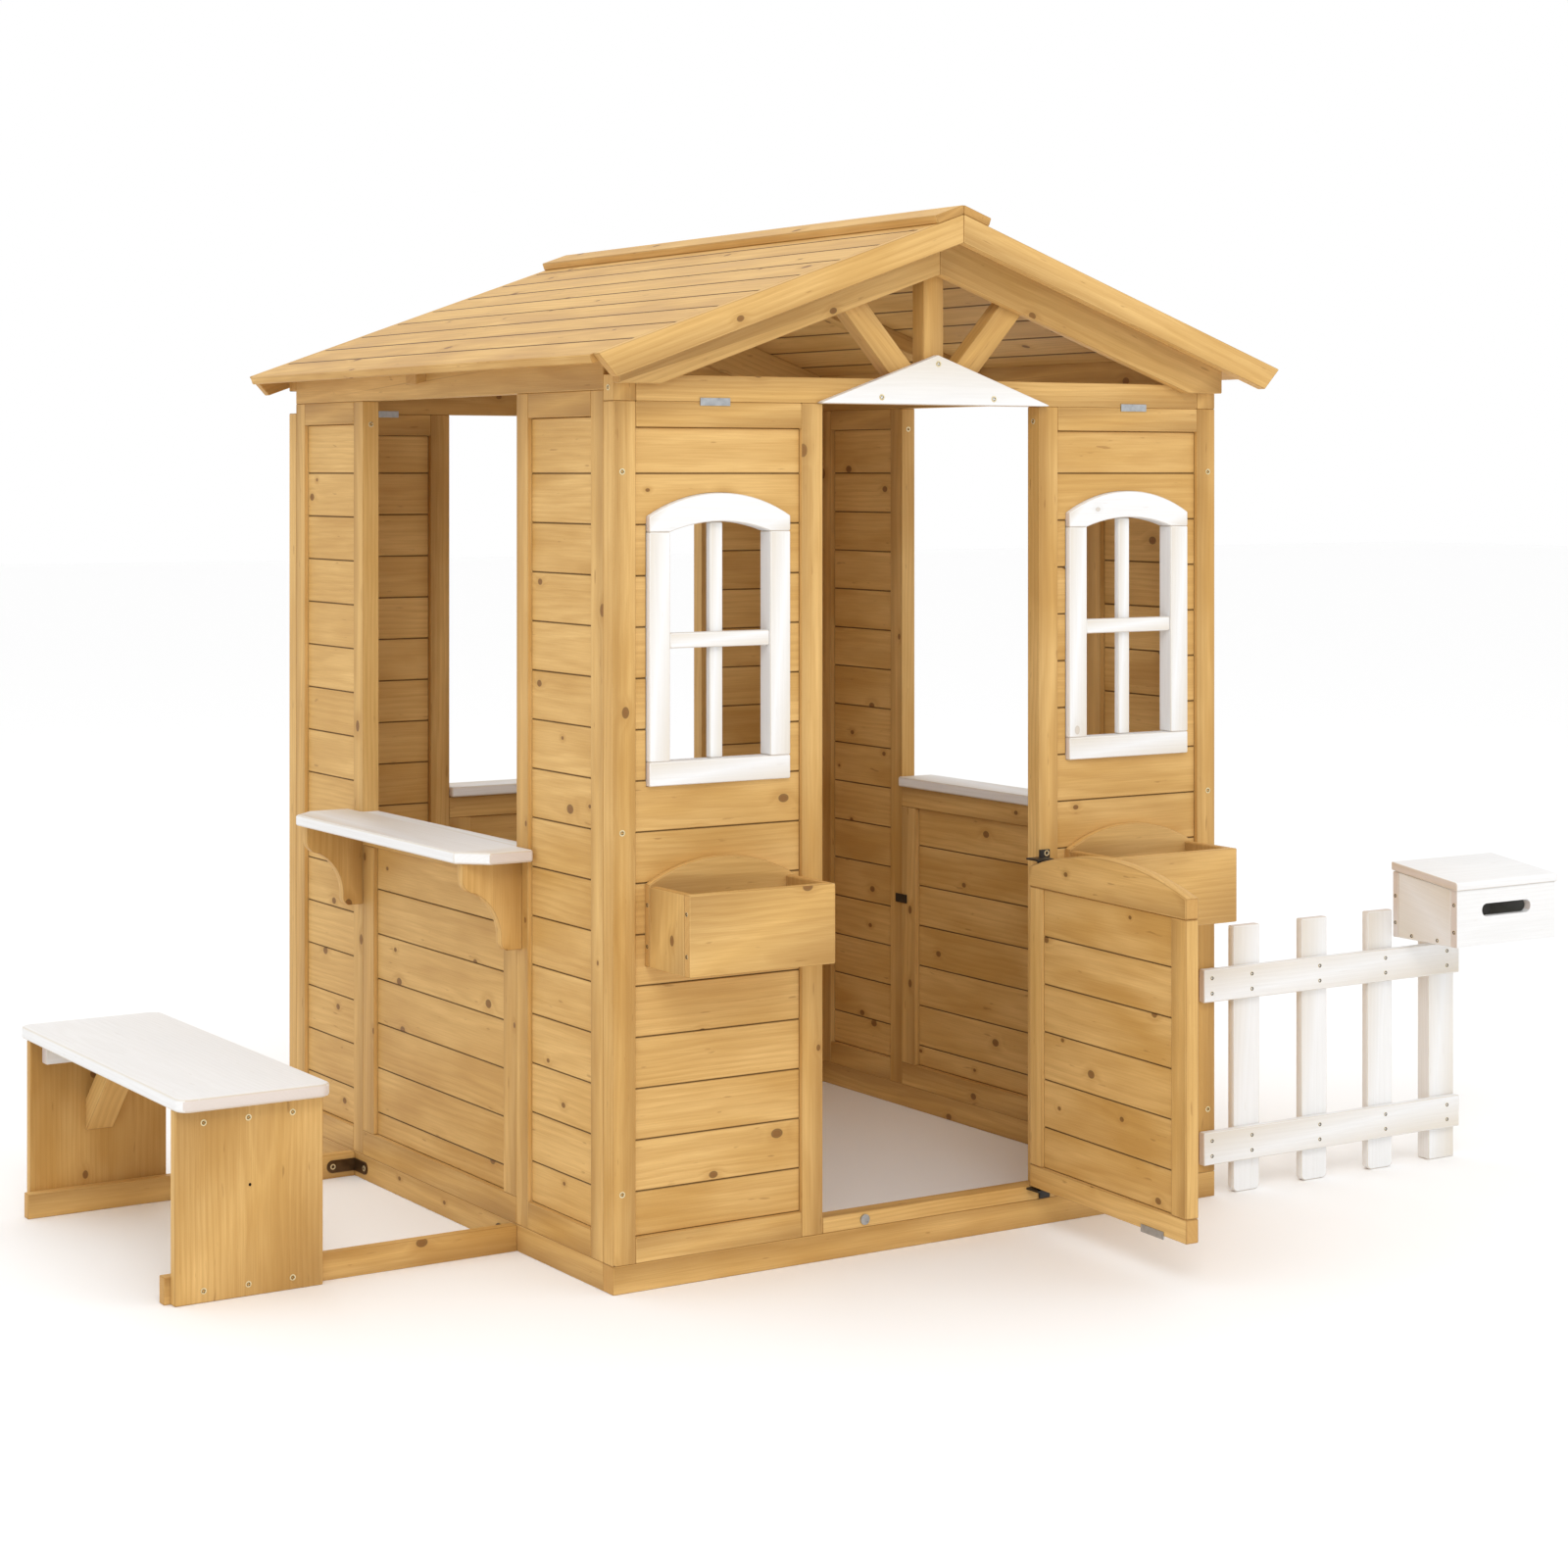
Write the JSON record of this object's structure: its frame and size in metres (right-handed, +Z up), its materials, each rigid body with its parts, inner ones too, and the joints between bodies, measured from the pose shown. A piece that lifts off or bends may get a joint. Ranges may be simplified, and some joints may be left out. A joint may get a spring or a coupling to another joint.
{
  "type": "wooden playhouse",
  "caption": "Timber-clad garden playhouse for small children, with a gable roof, a half door, a serving counter with a bench, flower boxes and a picket fence with a mailbox.",
  "frame": {"origin": "middle of the front base board's underside, on the ground", "axes": "+Z up, +X along the front wall to the right, towards the fence, +Y from the front wall to the back wall"},
  "size_m": [2.038, 1.4248, 1.3965],
  "materials": {
    "honey_fir": "honey-stained fir boards with fine grain and small knots, satin",
    "white_painted_wood": "white painted softwood, satin, faint grain",
    "zinc_plated_steel": "bright zinc-plated sheet steel",
    "black_steel": "black painted steel",
    "bronzed_steel": "bronzed steel angle brackets, satin",
    "yellow_zinc_steel": "yellow-zinc screws with dark cross recesses"
  },
  "bodies": {
    "house": {"base_front_board": "honey_fir", "base_back_board": "honey_fir", "base_side_boards": "honey_fir", "door_threshold": "honey_fir", "front_panel_frames": "honey_fir", "front_panel_siding": "honey_fir", "left_panel_frames": "honey_fir", "left_panel_siding": "honey_fir", "right_panel_frames": "honey_fir", "right_panel_siding": "honey_fir", "back_panel_frames": "honey_fir", "back_panel_siding": "honey_fir", "half_wall_frames": "honey_fir", "half_wall_siding": "honey_fir", "front_header": "honey_fir", "back_header": "honey_fir", "side_headers": "honey_fir", "front_truss_chords": "honey_fir", "king_post": "honey_fir", "truss_braces": "honey_fir", "back_truss": "honey_fir", "back_gable_boards": "honey_fir", "mid_rafters": "honey_fir", "roof_boards_left": "honey_fir", "roof_boards_right": "honey_fir", "ridge_cap": "honey_fir", "front_bargeboards": "honey_fir", "back_bargeboards": "honey_fir", "counter_corbels": "honey_fir", "bench_ground_rails": "honey_fir", "bench_braces": "honey_fir", "bench_legs": "honey_fir", "flower_box_left": "honey_fir", "flower_box_right": "honey_fir", "door_pediment": "white_painted_wood", "window_frames": "white_painted_wood", "window_bars": "white_painted_wood", "counter_shelf": "white_painted_wood", "sills": "white_painted_wood", "bench_seat": "white_painted_wood", "bench_cleats": "white_painted_wood", "fence_pickets": "white_painted_wood", "fence_rails": "white_painted_wood", "fence_post": "white_painted_wood", "mailbox_box": "white_painted_wood", "door_magnet": "zinc_plated_steel", "header_joint_plates": "zinc_plated_steel", "mailbox_hinge_leaves_and_pins": "zinc_plated_steel", "door_pivot_brackets": "black_steel", "mending_plates": "black_steel", "bench_angle_brackets": "bronzed_steel", "house_screws": "yellow_zinc_steel", "bench_screws": "yellow_zinc_steel", "fence_screws": "yellow_zinc_steel", "box_screws": "yellow_zinc_steel"},
    "door": {"door_frame": "honey_fir", "door_siding": "honey_fir", "door_strike": "zinc_plated_steel"},
    "mailbox_lid": {"mailbox_lid": "white_painted_wood", "mailbox_lid_hinge_leaves": "zinc_plated_steel"}
  },
  "joints": [
    {"name": "door_hinge", "type": "hinge", "parent": "house", "child": "door", "pos_m": [0.1685, -0.027, 0], "axis": [0, 0, 1], "range_deg": [-86, 26]},
    {"name": "mailbox_lid_hinge", "type": "hinge", "parent": "house", "child": "mailbox_lid", "pos_m": [0.944, -0.00994, 0.45075], "axis": [-1, 0, 0], "range_deg": [0, 95]}
  ]
}
